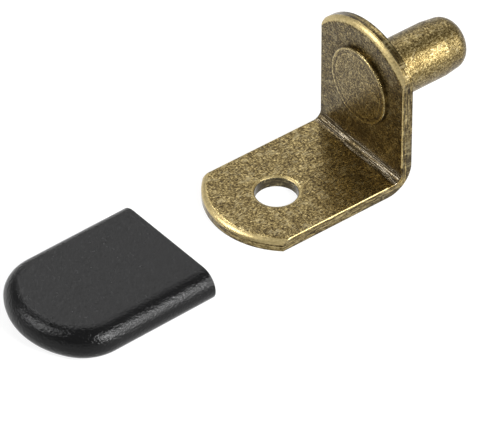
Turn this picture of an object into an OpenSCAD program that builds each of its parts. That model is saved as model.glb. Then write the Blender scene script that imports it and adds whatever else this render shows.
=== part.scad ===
// Shelf support pin: a bent strip with round ends, a riveted pin and a push-on sleeve.
// Millimetres. +Z is up, and +Y runs along the pin, into the side panel of the cabinet.
// The origin is where the pin's axis meets the back face of the upright.

/* [Strip] */
// Width of the strip that the bracket is bent from
strip_w = 10.9; // [9:0.1:14]
// Thickness of the strip
sheet_t = 1.05; // [0.8:0.05:1.6]
// How far each round end stands beyond its two corners
end_rise = 2.45; // [0.6:0.05:3.6]
// Width of the slope that the punch draws down along the round ends
end_roll_w = 0.6; // [0.4:0.05:0.8]
// Depth of that slope at the cut edge
end_roll_d = 0.4; // [0.1:0.05:0.4]
// Rounding that the punch leaves along the straight sides
side_roll_r = 0.12; // [0.05:0.01:0.3]

/* [Bracket] */
// Height of the pin's axis above the underside of the flange
pin_height = 8; // [6.6:0.1:12]
// Height of the upright above the pin's axis
upright_top = 5.9; // [5:0.1:9]
// Width of the small facet on each upper corner of the upright
corner_facet = 0.4; // [0.1:0.05:0.6]
// Reach of the flange in front of the back face of the upright
flange_reach = 16; // [14.5:0.5:24]
// Inner radius of the bend
bend_in_r = 0.8; // [0.4:0.1:1.2]
// Outer radius of the bend, where the metal is drawn thin
bend_out_r = 2.45; // [1.6:0.05:2.8]

/* [Screw hole] */
// Diameter of the screw hole in the flange
screw_d = 3.7; // [2.5:0.1:5]
// Distance of the screw hole from the back face of the upright
screw_reach = 10; // [6:0.5:12]
// Width of the slope that the punch draws down round the screw hole
screw_roll_w = 0.4; // [0.2:0.05:0.6]
// Depth of that slope at the hole
screw_roll_d = 0.15; // [0.05:0.05:0.2]

/* [Pin] */
// Diameter of the pin
pin_d = 5; // [4:0.1:7]
// Length of the pin behind the upright
pin_l = 9.1; // [6:0.1:14]
// Rounding of the pin's tip
tip_r = 1.45; // [0.5:0.05:1.8]
// Length of the lead-in taper before the tip
lead_l = 1.1; // [0.4:0.1:2]
// How much the lead-in takes off the radius
lead_in = 0.14; // [0.05:0.01:0.3]
// Diameter of the neck that is riveted through the upright
neck_d = 3.2; // [2:0.1:3.8]
// Clearance round the neck in its hole
neck_clear = 0.02; // [0.01:0.01:0.1]
// Diameter of the riveted head
head_d = 7; // [5.5:0.1:8.4]
// Thickness of the riveted head
head_t = 0.4; // [0.2:0.05:0.8]
// Rounding round the face of the riveted head
head_roll_r = 0.1; // [0.05:0.01:0.2]

/* [Sleeve] */
// Depth of the slot that takes the flange
slot_depth = 13.6; // [10:0.1:20]
// Clearance between the slot and the strip, on each side
slot_clear = 0.1; // [0.05:0.05:0.4]
// Wall above and below the slot
face_wall = 0.8; // [0.6:0.05:1.6]
// Wall on each side of the slot
side_wall = 0.6; // [0.5:0.05:1.6]
// Wall in front of the slot
nose_wall = 1.5; // [1.3:0.1:4]
// Radius of the sleeve's front corners, seen from above
corner_r = 4.4; // [3:0.1:4.8]
// How far the middle of the nose stands ahead of its corners
nose_rise = 0.55; // [0.3:0.05:1]
// Rounding of the lower edge
low_edge_r = 1.25; // [0.8:0.05:1.4]
// Height of the straight belt between the two rounded edges
belt_h = 0.05; // [0.03:0.01:0.3]

/* [Where the loose sleeve lies] */
// Gap between the tip of the flange and the open end of the sleeve
sleeve_gap = 6; // [2:0.5:20]
// How far the sleeve lies to the side of the bracket
sleeve_side = 1; // [-5:0.1:5]
// Turn of the sleeve, in degrees
sleeve_turn = 1.5; // [-20:0.5:20]

/* [Hidden] */
$fn = 96;

// A cutter runs this far past what it cuts
over = 0.3;

half_strip = strip_w / 2;
// Radius of the arc through two corners and the tip that rises between them
function arc_r(half_chord, rise) = (half_chord ^ 2 + rise ^ 2) / (2 * rise);
end_r = arc_r(half_strip, end_rise);
// Where the slope along a round end has run out past the sides of the strip
roll_end = end_r - sqrt(max(0, (end_r - end_roll_w) ^ 2 - half_strip ^ 2));
// How far the sides and the round end turn away from a corner's facet, and the facet's depth
facet_turn = acos(half_strip / end_r) / 2;
facet_depth = corner_facet / 2 * tan(facet_turn);
// Longer than either leg, for cuts that clear the whole bracket
clear_l = flange_reach + pin_height + upright_top;
flange_top = sheet_t - pin_height;
bend_y = -sheet_t - bend_in_r;
bend_z = flange_top + bend_in_r;

slot_w = strip_w + 2 * slot_clear;
slot_t = sheet_t + 2 * slot_clear;
slot_end_r = end_r + slot_clear;
slot_rise = slot_end_r - sqrt(slot_end_r ^ 2 - (slot_w / 2) ^ 2);
sleeve_half_w = slot_w / 2 + side_wall;
sleeve_t = slot_t + 2 * face_wall;
sleeve_l = slot_depth + nose_wall;
top_edge_r = sleeve_t - low_edge_r - belt_h;
// The nose is an arc that runs smoothly into the two corners' arcs
corner_x = sleeve_half_w - corner_r;
centres_r = arc_r(corner_x, nose_rise);
nose_r = centres_r + corner_r;
nose_angle = asin(corner_x / centres_r);
nose_y = nose_r - sleeve_l;
corner_y = nose_y - centres_r * cos(nose_angle);

// What rounding takes off a corner at the origin, with the material below and to the left
module roll_section(r) {
    difference() {
        translate([-r, -r]) square(r + over);
        translate([-r, -r]) circle(r);
    }
}

// What a slope of width w and depth d takes off such a corner. It starts level with the upper face.
module slope_section(w, d) {
    r = arc_r(w, d);
    difference() {
        translate([-w, -d - over]) square([w + over, d + 2 * over]);
        translate([-w, -r]) circle(r);
    }
}

// ---------- bracket ----------

// All that lies above and to the left of a rounded corner at the origin
module corner_space(size, r) {
    translate([-size, r]) square([size, size - r]);
    translate([-size, 0]) square([size - r, size]);
    translate([-r, r]) circle(r);
}

// The bend seen along the strip's width, both legs running on past their ends
module bend_section() {
    translate([0, -pin_height]) difference() {
        corner_space(clear_l, bend_out_r);
        translate([-sheet_t, sheet_t]) corner_space(2 * clear_l, bend_in_r);
    }
}

// All of a leg up to its round end, which points to +Y with its tip at the origin.
// The leg lies from z = 0 to z = sheet_t, and the edge at sheet_t is drawn down.
module round_end_limit() {
    translate([0, -end_r, 0]) rotate_extrude() difference() {
        translate([0, -over]) square([end_r, sheet_t + 2 * over]);
        translate([end_r, sheet_t]) slope_section(end_roll_w, end_roll_d);
    }
    translate([-strip_w, -roll_end - 2 * clear_l, -clear_l])
        cube([2 * strip_w, 2 * clear_l, 2 * clear_l]);
}

// Cutter for the rolled edge along one side, all the way round the inside of the bend
module side_roll() {
    translate([half_strip, -sheet_t, bend_z]) linear_extrude(clear_l)
        mirror([0, 1]) roll_section(side_roll_r);
    translate([half_strip, bend_y, flange_top]) rotate([90, 0, 0]) linear_extrude(clear_l)
        roll_section(side_roll_r);
    translate([0, bend_y, bend_z]) rotate([90, 0, 90]) rotate([0, 0, -90]) rotate_extrude(angle = 90)
        translate([bend_in_r, half_strip]) mirror([1, 0]) roll_section(side_roll_r);
}

// Cutter for the facet on one upper corner of the upright
module facet_cut() {
    translate([half_strip, 0, upright_top - end_rise]) rotate([0, 90 - facet_turn, 0])
        translate([-corner_facet, -sheet_t - over, -facet_depth])
            cube([2 * corner_facet, sheet_t + 2 * over, corner_facet]);
}

// Screw hole, with its upper rim drawn down
module screw_hole() {
    translate([0, -screw_reach, -pin_height - over]) cylinder(d = screw_d, h = sheet_t + 2 * over);
    translate([0, -screw_reach, flange_top]) rotate_extrude()
        translate([screw_d / 2, 0]) mirror([1, 0]) slope_section(screw_roll_w, screw_roll_d);
}

// Hole in the upright for the neck of the pin
module neck_hole() {
    translate([0, over, 0]) rotate([90, 0, 0])
        cylinder(d = neck_d + 2 * neck_clear, h = sheet_t + 2 * over);
}

module bracket() {
    color("#8c7440") difference() {
        intersection() {
            rotate([90, 0, 90]) translate([0, 0, -half_strip]) linear_extrude(strip_w) bend_section();
            translate([0, -flange_reach, -pin_height]) rotate([0, 0, 180]) round_end_limit();
            translate([0, 0, upright_top]) rotate([90, 0, 0]) round_end_limit();
        }
        side_roll();
        mirror([1, 0, 0]) side_roll();
        facet_cut();
        mirror([1, 0, 0]) facet_cut();
        screw_hole();
        neck_hole();
    }
}

// ---------- pin ----------

// Half section of the shank: X is the radius, and Y runs towards the tip
module shank_section() {
    tip_start = pin_l - tip_r;
    lead_r = pin_d / 2 - lead_in;
    difference() {
        polygon([[0, 0], [pin_d / 2, 0], [pin_d / 2, tip_start - lead_l],
            [lead_r, tip_start], [lead_r, pin_l], [0, pin_l]]);
        translate([lead_r, pin_l]) roll_section(tip_r);
    }
}

// Half section of the neck and of the head that is riveted down on the upright
module rivet_section() {
    translate([0, -sheet_t - head_t / 2]) square([neck_d / 2, sheet_t + head_t]);
    translate([0, -sheet_t - head_t]) difference() {
        square([head_d / 2, head_t]);
        translate([head_d / 2, 0]) mirror([0, 1]) roll_section(head_roll_r);
    }
}

module pin() {
    color("#8c7440") rotate([-90, 0, 0]) rotate_extrude() {
        shank_section();
        rivet_section();
    }
}

// ---------- sleeve ----------

// Half section of the sleeve, r wide, with its rounded upper and lower edges
module rim_section(r) {
    difference() {
        square([r, sleeve_t]);
        translate([r, sleeve_t]) roll_section(top_edge_r);
        translate([r, 0]) mirror([0, 1]) roll_section(low_edge_r);
    }
}

// All of the sleeve up to its nose
module nose_limit() {
    side_x = sleeve_half_w + over;
    translate([0, nose_y, 0]) rotate_extrude() rim_section(nose_r);
    translate([-side_x, nose_y, -over]) cube([2 * side_x, sleeve_l, sleeve_t + 2 * over]);
}

// Cutter for one front corner: the wedge where its arc runs, less the round corner itself
module corner_cut() {
    reach = 2 * sleeve_half_w;
    translate([corner_x, corner_y, 0]) difference() {
        translate([0, 0, -over]) linear_extrude(sleeve_t + 2 * over)
            polygon([[0, 0], [reach, 0], [reach, -reach],
                [reach * sin(nose_angle), -reach * cos(nose_angle)]]);
        rotate_extrude() rim_section(corner_r);
    }
}

// Outside of the sleeve, its open end at y = 0 and its nose towards -Y
module sleeve_body() {
    difference() {
        intersection() {
            rotate([90, 0, 0]) linear_extrude(sleeve_l + over) {
                rim_section(sleeve_half_w);
                mirror([1, 0]) rim_section(sleeve_half_w);
            }
            nose_limit();
        }
        corner_cut();
        mirror([1, 0, 0]) corner_cut();
    }
}

// Slot with the outline of the flange's end, so that the flange slides in
module slot() {
    translate([0, 0, (sleeve_t - slot_t) / 2]) linear_extrude(slot_t) intersection() {
        translate([-slot_w / 2, -slot_depth]) square([slot_w, slot_depth + over]);
        union() {
            translate([0, slot_end_r - slot_depth]) circle(slot_end_r);
            translate([-slot_w, slot_rise - slot_depth]) square([2 * slot_w, slot_depth]);
        }
    }
}

module sleeve() {
    color("#2c2c2e") translate([sleeve_side, -flange_reach - sleeve_gap, -pin_height])
        rotate([0, 0, sleeve_turn]) difference() {
            sleeve_body();
            slot();
        }
}

bracket();
pin();
sleeve();
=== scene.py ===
"""A shelf support pin with its sleeve beside it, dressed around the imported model."""

import math

import bpy
from mathutils import Matrix, Vector


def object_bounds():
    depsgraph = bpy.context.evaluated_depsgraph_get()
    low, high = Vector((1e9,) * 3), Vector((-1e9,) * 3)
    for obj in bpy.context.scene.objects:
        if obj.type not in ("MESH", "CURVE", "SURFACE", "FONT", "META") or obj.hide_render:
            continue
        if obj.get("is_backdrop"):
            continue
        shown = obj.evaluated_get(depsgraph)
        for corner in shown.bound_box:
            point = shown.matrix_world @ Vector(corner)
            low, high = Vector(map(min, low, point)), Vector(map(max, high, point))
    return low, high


MM = 0.001  # metres in a millimetre

# the camera, a long lens that looks down on the part from the front right
AZIMUTH = 52.491
ELEVATION = 40.515
ROLL = -0.306
DISTANCE = 431.24 * MM
LENS = 385.7
AIM = (-10.744 * MM, -11.572 * MM)  # to the camera's right and up from the row's origin

# the studio, in metres
FLOOR_HALF = 1.5  # half of the floor's width
FLOOR_GAP = 0.005 * MM  # between the part and the floor, so that their faces don't share a plane
SHADED_TO = 0.06  # the floor shows a shadow as far as this from the row's origin
WHITE_FROM = 0.12  # and is plain white beyond this
LAMP_AWAY = 0.5  # from the row's origin to each lamp

# the bracket, in millimetres along the row's axes
BEND_START = -2.45  # Y where the flange's lower face turns into the bend
BEND_END = -5.55  # Z where the bend turns into the upright's back face
UNDERSIDE = -8.0
SHEET = 1.05
CREASE = -8.0  # Y + Z in the middle of the inside of the bend
BEND_MIDDLE = -5.5  # Z - Y between the inside and the outside of the bend
HEAD_R = 3.5  # radius of the pin's head
HOLE_Y = -10.0  # the screw hole's axis
HOLE_R = 1.85  # and its radius

# the brass, besides its patina, and the painted shade inside the bend and the screw hole
WORN = 0.14 * MM  # how far wear reaches in from an edge
SCRATCHED = (0.42, 0.35, 0.19)
PRESS_MARK_GLINT = (0.36, 0.31, 0.23)
BEND_SHADE = (0.040, 0.028, 0.014)
HOLE_SHADE = (0.035, 0.029, 0.018)
CUT_DARK_COLOUR = (0.045, 0.035, 0.020)


# ---------------------------------------------------------------- node helpers


def new_material(name):
    """A material with an empty node tree, and its tree."""
    material = bpy.data.materials.new(name)
    material.use_nodes = True
    material.node_tree.nodes.clear()
    return material, material.node_tree


def node(tree, kind, values=None, **settings):
    """Adds a node, sets its properties, then its inputs: a value sets a socket and a socket is linked."""
    n = tree.nodes.new(kind)
    for key, value in settings.items():
        setattr(n, key, value)
    for key, value in (values or {}).items():
        if isinstance(value, bpy.types.NodeSocket):
            tree.links.new(value, n.inputs[key])
        else:
            n.inputs[key].default_value = value
    return n


def math_node(tree, operation, *terms, clamp=False):
    """One Math node's result."""
    n = node(tree, "ShaderNodeMath", dict(enumerate(terms)), operation=operation, use_clamp=clamp)
    return n.outputs[0]


def between(tree, value, low, high):
    """Value taken from low..high to 0..1, smoothly and clamped."""
    n = node(tree, "ShaderNodeMapRange", {"Value": value, "From Min": low, "From Max": high},
             interpolation_type="SMOOTHSTEP")
    return n.outputs["Result"]


def ramp(tree, factor, *stops):
    """A colour ramp's colour. Each stop is a place and a colour."""
    n = node(tree, "ShaderNodeValToRGB", {"Fac": factor})
    elements = n.color_ramp.elements
    while len(elements) < len(stops):
        elements.new(0.5)
    for element, (place, colour) in zip(elements, stops):
        element.position = place
        element.color = (*colour, 1.0)
    return n.outputs["Color"]


def mix_colour(tree, factor, a, b, blend="MIX"):
    """Two colours mixed by factor."""
    n = node(tree, "ShaderNodeMix", data_type="RGBA", blend_type=blend)
    for key, value in ((0, factor), (6, a), (7, b)):
        if isinstance(value, bpy.types.NodeSocket):
            tree.links.new(value, n.inputs[key])
        else:
            n.inputs[key].default_value = value if key == 0 else (*value, 1.0)
    return n.outputs[2]


def axes(tree, vector):
    """A vector's three parts, by name."""
    return node(tree, "ShaderNodeSeparateXYZ", {"Vector": vector}).outputs


def millimetres(tree):
    """The row's own coordinates, in millimetres."""
    place = node(tree, "ShaderNodeTexCoord").outputs["Object"]
    n = node(tree, "ShaderNodeVectorMath", {0: place, 1: (1 / MM, 1 / MM, 1 / MM)}, operation="MULTIPLY")
    return n.outputs["Vector"]


def noise(tree, place, scale, detail=3.0, roughness=0.6):
    """Noise with about scale lumps in a millimetre."""
    n = node(tree, "ShaderNodeTexNoise",
             {"Vector": place, "Scale": scale, "Detail": detail, "Roughness": roughness})
    return n.outputs["Fac"]


def turned(tree, place, angles, stretch):
    """The place turned by angles and stretched, for grain and scratches that run one way."""
    n = node(tree, "ShaderNodeMapping", {"Vector": place, "Rotation": angles, "Scale": stretch})
    return n.outputs["Vector"]


def edge_mask(tree, radius):
    """1 on the edges and rolled rims, 0 on the faces."""
    worn = node(tree, "ShaderNodeBevel", {"Radius": radius}, samples=6).outputs["Normal"]
    true = node(tree, "ShaderNodeNewGeometry").outputs["Normal"]
    cosine = node(tree, "ShaderNodeVectorMath", {0: worn, 1: true}, operation="DOT_PRODUCT")
    return between(tree, cosine.outputs["Value"], 0.995, 0.90)


def corner_shade_mask(tree, reach):
    """1 deep in the inner corners, where shade falls, and 0 in the open: a mask for painted shade."""
    open_sky = node(tree, "ShaderNodeAmbientOcclusion", {"Distance": reach}, samples=8)
    return between(tree, open_sky.outputs["AO"], 0.85, 0.35)


def distance(tree, a, b):
    """How far a point lies from an axis, from its two offsets."""
    return math_node(tree, "SQRT", math_node(tree, "MULTIPLY_ADD", a, a, math_node(tree, "MULTIPLY", b, b)))


def ring_mask(tree, reach, radius, width):
    """1 on a thin ring, where the distance from the axis is the radius, and 0 off it."""
    off = math_node(tree, "ABSOLUTE", math_node(tree, "SUBTRACT", reach, radius))
    return between(tree, off, width, width * 0.4)


# ------------------------------------------------------------------ materials


def scratches(tree, place, angles, length, spread, width):
    """Thin short curved scratches: level lines of a stretched noise, kept only here and there."""
    along = turned(tree, place, angles, (spread, spread / length, spread))
    field = noise(tree, along, 1.0, detail=1.0, roughness=0.4)
    off = math_node(tree, "ABSOLUTE", math_node(tree, "SUBTRACT", field, 0.5))
    line = between(tree, off, width, width * 0.3)
    kept = between(tree, noise(tree, place, 1.3, detail=2.0), 0.46, 0.60)
    return math_node(tree, "MULTIPLY", line, kept)


def patina(tree, place, fineness):
    """The level, or how far the dark patina is rubbed off: about 0.4 is dark and 0.7 is bare."""
    grain = noise(tree, place, 4.6 * fineness, detail=3.0, roughness=0.62)
    one_way = turned(tree, place, (0.5, 0.3, 0.9), (9.0, 3.6, 9.0))
    other_way = turned(tree, place, (0.1, 0.7, 2.3), (3.8, 9.4, 9.4))
    strokes = math_node(tree, "MAXIMUM", noise(tree, one_way, fineness, detail=1.0),
                        noise(tree, other_way, fineness, detail=1.0))
    cloud = noise(tree, place, 0.7, detail=3.0, roughness=0.6)
    level = math_node(tree, "MULTIPLY_ADD", grain, 0.32, math_node(tree, "MULTIPLY", strokes, 0.50))
    return math_node(tree, "ADD", level, math_node(tree, "MULTIPLY_ADD", cloud, 0.11, 0.006))


def fine_grain(tree, place, level, where):
    """The level with a very fine grain added where the mask is 1."""
    grain = math_node(tree, "MULTIPLY_ADD", noise(tree, place, 9.5, detail=1.0), 0.30, -0.15)
    return math_node(tree, "MULTIPLY_ADD", grain, where, level)


def brass_colour(tree, level):
    """From dark olive brown to pale gold."""
    return ramp(tree, level,
                (0.38, (0.019, 0.010, 0.002)),
                (0.44, (0.058, 0.038, 0.010)),
                (0.50, (0.132, 0.094, 0.032)),
                (0.55, (0.240, 0.182, 0.073)),
                (0.62, (0.480, 0.374, 0.168)),
                (0.70, (0.640, 0.515, 0.255)))


def brass_shader(material, tree, colour, level, height, soft):
    """Gives the material its metal. A dark level and the mask soft both make it duller."""
    dull = between(tree, level, 0.60, 0.40)
    roughness = math_node(tree, "MULTIPLY_ADD", dull, 0.14, 0.21)
    roughness = math_node(tree, "MULTIPLY_ADD", soft, 0.18, roughness)
    bump = node(tree, "ShaderNodeBump", {"Height": height, "Strength": 0.50, "Distance": 0.03 * MM})
    shader = node(tree, "ShaderNodeBsdfPrincipled",
                  {"Base Color": colour, "Roughness": roughness, "Metallic": 1.0,
                   "Normal": bump.outputs["Normal"], "Coat Weight": 0.12, "Coat Roughness": 0.25})
    output = node(tree, "ShaderNodeOutputMaterial")
    tree.links.new(shader.outputs["BSDF"], output.inputs["Surface"])
    return material


def sheared_mask(tree, at):
    """The cuts, the rims drawn down to them, and the place across the sheet, 0 outside and 1 inside."""
    facing = axes(tree, node(tree, "ShaderNodeTexCoord").outputs["Normal"])
    on_flange = math_node(tree, "LESS_THAN", at["Y"], BEND_START)
    on_upright = math_node(tree, "GREATER_THAN", at["Z"], BEND_END)
    flat = math_node(tree, "MAXIMUM",
                     math_node(tree, "MULTIPLY", on_flange, math_node(tree, "ABSOLUTE", facing["Z"])),
                     math_node(tree, "MULTIPLY", on_upright, math_node(tree, "ABSOLUTE", facing["Y"])))
    on_leg = math_node(tree, "MAXIMUM", on_flange, on_upright)
    side_cut = between(tree, math_node(tree, "ABSOLUTE", facing["X"]), 0.8, 0.96)
    cut = math_node(tree, "MAXIMUM", side_cut,
                    math_node(tree, "MULTIPLY", on_leg, between(tree, flat, 0.32, 0.12)))
    drawn = math_node(tree, "MULTIPLY", on_leg, between(tree, flat, 0.998, 0.93))
    drawn = math_node(tree, "MULTIPLY", drawn, math_node(tree, "SUBTRACT", 1.0, cut))
    outer = math_node(tree, "MINIMUM", math_node(tree, "MULTIPLY", at["Y"], -1.0),
                      math_node(tree, "SUBTRACT", at["Z"], UNDERSIDE))
    return cut, drawn, math_node(tree, "DIVIDE", outer, SHEET)


def crease_lines(tree, place, at):
    """Fine press marks along the inside of the bend: their strength, and where the bend's inside is."""
    off_middle = math_node(tree, "SUBTRACT", math_node(tree, "ADD", at["Y"], at["Z"]), CREASE)
    near_middle = between(tree, math_node(tree, "ABSOLUTE", off_middle), 0.95, 0.55)
    inner_face = math_node(tree, "GREATER_THAN", math_node(tree, "SUBTRACT", at["Z"], at["Y"]), BEND_MIDDLE)
    inside = math_node(tree, "MULTIPLY", near_middle, inner_face)
    along = turned(tree, place, (0.0, 0.0, 0.0), (0.4, 10.0, 10.0))
    marks = between(tree, noise(tree, along, 1.0, detail=1.0, roughness=0.4), 0.53, 0.62)
    return math_node(tree, "MULTIPLY", inside, marks), inside


def edge_streaks(tree, at, across):
    """Fine lines that the shears leave along the cut edges, round the bend too."""
    along = math_node(tree, "SUBTRACT", at["Y"], at["Z"])
    flow = node(tree, "ShaderNodeCombineXYZ",
                {"X": math_node(tree, "MULTIPLY", across, 8.0),
                 "Y": math_node(tree, "MULTIPLY", along, 0.9),
                 "Z": math_node(tree, "MULTIPLY", at["X"], 0.7)}).outputs["Vector"]
    return noise(tree, flow, 1.0, detail=2.0, roughness=0.6)


def bracket_level(tree, place, at, cut, drawn, across):
    """The bracket's level: barer on edges, darker in inner corners and on the upright (painted shade),
    lighter and calm on its rims (partly wear, partly painted highlight), streaked on its cuts.
    """
    rubbed = between(tree, noise(tree, place, 1.7, detail=3.0, roughness=0.65), 0.36, 0.60)
    edges = math_node(tree, "MULTIPLY", edge_mask(tree, WORN), rubbed)
    level = math_node(tree, "MULTIPLY_ADD", edges, 0.09, patina(tree, place, 1.0))
    # painted shade: the level is darker deep in the inner corners, by the bend and round the pin's head
    level = math_node(tree, "MULTIPLY_ADD", corner_shade_mask(tree, 0.25 * MM), -0.05, level)
    # painted shade: the upright is toned darker and the flange a touch lighter, for how the light falls on
    # each
    on_upright = between(tree, at["Z"], UNDERSIDE, BEND_END)
    level = math_node(tree, "ADD", level, math_node(tree, "MULTIPLY_ADD", on_upright, -0.054, 0.012))
    level = fine_grain(tree, place, level, on_upright)
    # on the drawn rims the level is raised and calmed: partly rubbed wear, partly a painted highlight along
    # the rolled rims
    calm = math_node(tree, "MULTIPLY_ADD", drawn, -0.55, 1.0)
    level = math_node(tree, "MULTIPLY_ADD", math_node(tree, "SUBTRACT", level, 0.5), calm,
                      math_node(tree, "MULTIPLY_ADD", drawn, 0.145, 0.5))
    streaked = math_node(tree, "MULTIPLY_ADD", edge_streaks(tree, at, across), 0.55,
                         math_node(tree, "MULTIPLY_ADD", level, 0.55, -0.03))
    level = node(tree, "ShaderNodeMix", {0: cut, 2: level, 3: streaked}, data_type="FLOAT").outputs[0]
    return math_node(tree, "MULTIPLY_ADD", math_node(tree, "MULTIPLY", cut, edges), 0.07, level)


def cut_colour(tree, place, at, colour, cut, across):
    """The colour with light and dark bands across the cuts, and a darker colour on their outer half by the
    bend.
    """
    waver = math_node(tree, "MULTIPLY_ADD", noise(tree, place, 0.9, detail=3.0), 0.16, -0.08)
    band = math_node(tree, "ADD", across, waver)
    bands = ramp(tree, band,
                 (0.04, (0.40, 0.40, 0.40)),
                 (0.14, (1.00, 1.00, 1.00)),
                 (0.40, (0.90, 0.90, 0.92)),
                 (0.50, (0.40, 0.40, 0.40)),
                 (0.60, (1.40, 1.40, 1.45)),
                 (0.74, (0.70, 0.70, 0.70)),
                 (0.84, (0.45, 0.45, 0.45)),
                 (0.93, (2.10, 2.10, 2.05)))
    colour = mix_colour(tree, cut, colour, mix_colour(tree, 1.0, colour, bands, "MULTIPLY"))
    near_bend = between(tree, math_node(tree, "SUBTRACT", at["Y"], at["Z"]), 1.0, 5.0)
    outer_half = between(tree, band, 0.62, 0.36)
    dark_near_bend = math_node(tree, "MULTIPLY", math_node(tree, "MULTIPLY", cut, near_bend), outer_half)
    return mix_colour(tree, math_node(tree, "MULTIPLY", dark_near_bend, 0.65), colour, CUT_DARK_COLOUR)


def bracket_brass():
    """Antique brass plating: a dark olive patina, rubbed off in specks, scratches and on the edges."""
    material, tree = new_material("bracket_brass")
    place = millimetres(tree)
    at = axes(tree, place)
    cut, drawn, across = sheared_mask(tree, at)
    level = bracket_level(tree, place, at, cut, drawn, across)
    colour = cut_colour(tree, place, at, brass_colour(tree, level), cut, across)
    from_hole = distance(tree, at["X"], math_node(tree, "SUBTRACT", at["Y"], HOLE_Y))
    # painted shade: the wall of the screw hole is darkened
    hole_wall_shade = between(tree, from_hole, HOLE_R + 0.04, HOLE_R + 0.01)
    colour = mix_colour(tree, math_node(tree, "MULTIPLY", hole_wall_shade, 0.85), colour, HOLE_SHADE)
    lines = scratches(tree, place, (0.2, 0.1, 0.5), 5.0, 2.6, 0.050)
    lines = math_node(tree, "MAXIMUM", lines, scratches(tree, place, (0.1, 0.4, 2.1), 6.0, 3.2, 0.045))
    colour = mix_colour(tree, math_node(tree, "MULTIPLY", lines, 0.40), colour, SCRATCHED)
    marks, inside = crease_lines(tree, place, at)
    # painted shade: the inside of the bend is darkened
    colour = mix_colour(tree, math_node(tree, "MULTIPLY", inside, 0.80), colour, BEND_SHADE)
    # the press marks in a lighter colour: partly real marks, partly painted glints along the crease
    colour = mix_colour(tree, math_node(tree, "MULTIPLY", marks, 0.55), colour, PRESS_MARK_GLINT)
    height = math_node(tree, "MULTIPLY_ADD", lines, -0.25, level)
    height = math_node(tree, "MULTIPLY_ADD", marks, 0.8, height)
    near_head = between(tree, distance(tree, at["X"], at["Z"]), HEAD_R + 1.1, HEAD_R + 0.3)
    soft = math_node(tree, "MAXIMUM", drawn, math_node(tree, "MULTIPLY", near_head, 0.9))
    return brass_shader(material, tree, colour, level, height, soft)


def head_marks(tree, reach):
    """What riveting leaves on the head: faint inner rings, and a lighter rim line and wall, partly wear and
    partly painted light.
    """
    rings = math_node(tree, "SUBTRACT", ring_mask(tree, reach, HEAD_R - 0.62, 0.10),
                      ring_mask(tree, reach, HEAD_R - 0.42, 0.12))
    # painted light: the lighter wall lifts the dark crescent it makes beside the head, and the rim line is
    # in part a painted highlight
    wall = between(tree, reach, HEAD_R - 0.06, HEAD_R - 0.02)
    rim = math_node(tree, "MULTIPLY_ADD", wall, 0.5, ring_mask(tree, reach, HEAD_R - 0.13, 0.10))
    return math_node(tree, "MULTIPLY_ADD", rings, 0.04, math_node(tree, "MULTIPLY", rim, 0.08))


def pin_brass():
    """The same plating, with a finer patina, on the pin and its head."""
    material, tree = new_material("pin_brass")
    place = millimetres(tree)
    at = axes(tree, place)
    level = math_node(tree, "MULTIPLY_ADD", edge_mask(tree, WORN), 0.12, patina(tree, place, 1.25))
    # painted shade: the level is darker deep in the inner corners
    level = math_node(tree, "MULTIPLY_ADD", corner_shade_mask(tree, 0.5 * MM), -0.08, level)
    shank = math_node(tree, "GREATER_THAN", at["Y"], 0.0)
    on_head = math_node(tree, "SUBTRACT", 1.0, shank)
    level = math_node(tree, "ADD", level, math_node(tree, "MULTIPLY_ADD", shank, 0.016, -0.010))
    marks = head_marks(tree, distance(tree, at["X"], at["Z"]))
    level = fine_grain(tree, place, math_node(tree, "MULTIPLY_ADD", marks, on_head, level), on_head)
    colour = brass_colour(tree, level)
    lines = scratches(tree, place, (0.4, 0.1, 0.9), 5.0, 2.6, 0.050)
    colour = mix_colour(tree, math_node(tree, "MULTIPLY", lines, 0.40), colour, SCRATCHED)
    height = math_node(tree, "MULTIPLY_ADD", lines, -0.25, level)
    return brass_shader(material, tree, colour, level, height, math_node(tree, "MULTIPLY", shank, 0.8))


def black_rubber():
    """Soft black plastic with a very fine grain, a little worn and grey on its edges."""
    material, tree = new_material("sleeve_rubber")
    place = millimetres(tree)
    grain = noise(tree, place, 9.0, detail=3.0, roughness=0.6)
    cloud = noise(tree, place, 0.35, detail=2.0, roughness=0.5)
    edges = edge_mask(tree, 0.20 * MM)
    tone = math_node(tree, "MULTIPLY_ADD", grain, 0.3, math_node(tree, "MULTIPLY", cloud, 0.7))
    tone = math_node(tree, "MULTIPLY_ADD", edges, 0.12, tone)
    colour = ramp(tree, tone,
                  (0.30, (0.0012, 0.0012, 0.0013)),
                  (0.70, (0.0030, 0.0030, 0.0032)),
                  (0.90, (0.0120, 0.0120, 0.0124)))
    # sparse light specks: partly dust, partly painted glints
    specks = between(tree, noise(tree, place, 5.0, detail=1.0), 0.73, 0.77)
    colour = mix_colour(tree, math_node(tree, "MULTIPLY", specks, 0.4), colour, (0.08, 0.08, 0.08))
    roughness = math_node(tree, "MULTIPLY_ADD", grain, 0.18, 0.10)
    pebbles = noise(tree, place, 4.6, detail=2.0, roughness=0.6)
    bump = node(tree, "ShaderNodeBump", {"Height": pebbles, "Strength": 0.75, "Distance": 0.08 * MM})
    shader = node(tree, "ShaderNodeBsdfPrincipled",
                  {"Base Color": colour, "Roughness": roughness, "Normal": bump.outputs["Normal"],
                   "Specular IOR Level": 0.205})
    output = node(tree, "ShaderNodeOutputMaterial")
    tree.links.new(shader.outputs["BSDF"], output.inputs["Surface"])
    return material


def seen_rays(tree):
    """1 for rays from the camera, and for those that a shiny or clear surface sends on."""
    path = node(tree, "ShaderNodeLightPath").outputs
    some = math_node(tree, "MAXIMUM", path["Is Camera Ray"], path["Is Glossy Ray"])
    return math_node(tree, "MAXIMUM", some, path["Is Transmission Ray"])


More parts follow.
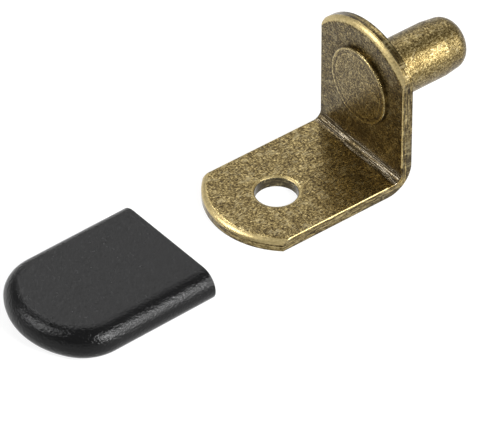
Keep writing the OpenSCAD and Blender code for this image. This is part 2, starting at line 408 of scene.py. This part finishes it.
def pale_floor():
    """White as seen, with a faint shadow near the part; pale paper to the light; clear from below."""
    material, tree = new_material("pale_floor")
    paper = node(tree, "ShaderNodeBsdfDiffuse", {"Color": (0.8, 0.8, 0.8, 1.0)})
    faint = node(tree, "ShaderNodeBsdfDiffuse", {"Color": (0.24, 0.24, 0.24, 1.0)})
    glow = node(tree, "ShaderNodeEmission", {"Color": (1.0, 1.0, 1.0, 1.0), "Strength": 0.82})
    shaded = node(tree, "ShaderNodeAddShader", {0: faint.outputs["BSDF"], 1: glow.outputs["Emission"]})
    white = node(tree, "ShaderNodeEmission", {"Color": (1.0, 1.0, 1.0, 1.0), "Strength": 1.0})
    place = node(tree, "ShaderNodeTexCoord").outputs["Object"]
    away = node(tree, "ShaderNodeVectorMath", {0: place}, operation="LENGTH").outputs["Value"]
    far = between(tree, away, SHADED_TO, WHITE_FROM)
    shown = node(tree, "ShaderNodeMixShader",
                 {0: far, 1: shaded.outputs["Shader"], 2: white.outputs["Emission"]})
    above = node(tree, "ShaderNodeMixShader",
                 {0: seen_rays(tree), 1: paper.outputs["BSDF"], 2: shown.outputs["Shader"]})
    clear = node(tree, "ShaderNodeBsdfTransparent")
    below = node(tree, "ShaderNodeNewGeometry").outputs["Backfacing"]
    both = node(tree, "ShaderNodeMixShader",
                {0: below, 1: above.outputs["Shader"], 2: clear.outputs["BSDF"]})
    output = node(tree, "ShaderNodeOutputMaterial")
    tree.links.new(both.outputs["Shader"], output.inputs["Surface"])
    return material


# ---------------------------------------------------------------------- scene


def dress(cad, material):
    """Gives a CAD node its own material."""
    cad.data.materials.clear()
    cad.data.materials.append(material)


def make_floor(lowest):
    """A wide flat floor, a hair under the part."""
    height = lowest - FLOOR_GAP
    corners = [(x * FLOOR_HALF, y * FLOOR_HALF, height) for x, y in ((-1, -1), (1, -1), (1, 1), (-1, 1))]
    mesh = bpy.data.meshes.new("floor")
    mesh.from_pydata(corners, [], [(0, 1, 2, 3)])
    mesh.materials.append(pale_floor())
    floor = bpy.data.objects.new("floor", mesh)
    bpy.context.scene.collection.objects.link(floor)
    floor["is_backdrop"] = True


def make_world():
    """White behind the part, grey overhead where the part mirrors it, and a plain even light elsewhere."""
    world = bpy.data.worlds.new("studio")
    world.use_nodes = True
    tree = world.node_tree
    tree.nodes.clear()
    height = axes(tree, node(tree, "ShaderNodeTexCoord").outputs["Generated"])["Z"]
    sky = ramp(tree, height, (0.06, (1.0, 1.0, 1.0)), (0.22, (0.42, 0.42, 0.42)))
    behind = node(tree, "ShaderNodeLightPath").outputs["Is Camera Ray"]
    sky = mix_colour(tree, behind, sky, (1.0, 1.0, 1.0))
    seen = node(tree, "ShaderNodeBackground", {"Color": sky, "Strength": 1.0})
    light = node(tree, "ShaderNodeBackground", {"Color": (1.0, 1.0, 1.0, 1.0), "Strength": 0.14})
    both = node(tree, "ShaderNodeMixShader",
                {0: seen_rays(tree), 1: light.outputs["Background"], 2: seen.outputs["Background"]})
    output = node(tree, "ShaderNodeOutputWorld")
    tree.links.new(both.outputs["Shader"], output.inputs["Surface"])
    bpy.context.scene.world = world


def direction(azimuth, elevation):
    """The way from the part to what stands at these angles: azimuth 0 is at -Y, and 90 at +X."""
    az, el = math.radians(azimuth), math.radians(elevation)
    return Vector((math.sin(az) * math.cos(el), -math.cos(az) * math.cos(el), math.sin(el)))


def make_lamp(name, azimuth, elevation, wide, tall, level):
    """A soft lamp that faces the part. Its brightness goes by its level alone, whatever its size."""
    away = direction(azimuth, elevation)
    data = bpy.data.lights.new(name, "AREA")
    data.shape = "RECTANGLE"
    data.size = wide
    data.size_y = tall
    data.energy = level * math.pi * wide * tall
    lamp = bpy.data.objects.new(name, data)
    lamp.location = away * LAMP_AWAY
    lamp.rotation_euler = away.to_track_quat("Z", "Y").to_euler()
    bpy.context.scene.collection.objects.link(lamp)


def make_camera():
    """The camera, turned about its own line of sight by the roll."""
    back = direction(AZIMUTH, ELEVATION)
    az, roll = math.radians(AZIMUTH), math.radians(ROLL)
    level = Vector((math.cos(az), math.sin(az), 0.0))
    upright = back.cross(level)
    right = level * math.cos(roll) + upright * math.sin(roll)
    up = upright * math.cos(roll) - level * math.sin(roll)
    data = bpy.data.cameras.new("camera")
    data.lens = LENS
    data.sensor_width = 36.0
    data.clip_start = 0.01
    camera = bpy.data.objects.new("camera", data)
    camera.matrix_world = Matrix.Translation(right * AIM[0] + up * AIM[1] + back * DISTANCE) @ Matrix(
        (right, up, back)).transposed().to_4x4()
    bpy.context.scene.collection.objects.link(camera)
    bpy.context.scene.camera = camera


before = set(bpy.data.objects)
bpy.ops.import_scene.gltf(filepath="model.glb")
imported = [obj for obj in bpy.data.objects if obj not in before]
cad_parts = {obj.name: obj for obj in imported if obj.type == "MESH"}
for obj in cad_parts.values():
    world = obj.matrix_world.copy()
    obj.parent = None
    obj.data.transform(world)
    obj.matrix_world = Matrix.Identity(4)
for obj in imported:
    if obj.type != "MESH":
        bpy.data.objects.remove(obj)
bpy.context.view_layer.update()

dress(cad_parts["bracket"], bracket_brass())
dress(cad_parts["pin"], pin_brass())
dress(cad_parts["sleeve"], black_rubber())

make_floor(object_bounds()[0][2])
make_world()
make_lamp("back_lamp", -132.0, 43.0, 0.45, 0.36, 1.35)
make_lamp("right_lamp", 119.0, 20.0, 0.38, 0.48, 3.9)
make_lamp("corner_lamp", 101.0, 31.0, 0.15, 0.26, 24.0)
make_lamp("front_lamp", -29.0, 37.0, 0.17, 0.26, 10.5)
make_lamp("left_lamp", -96.0, 53.0, 0.10, 0.10, 9.0)
make_camera()
bpy.context.scene.view_settings.view_transform = "Standard"
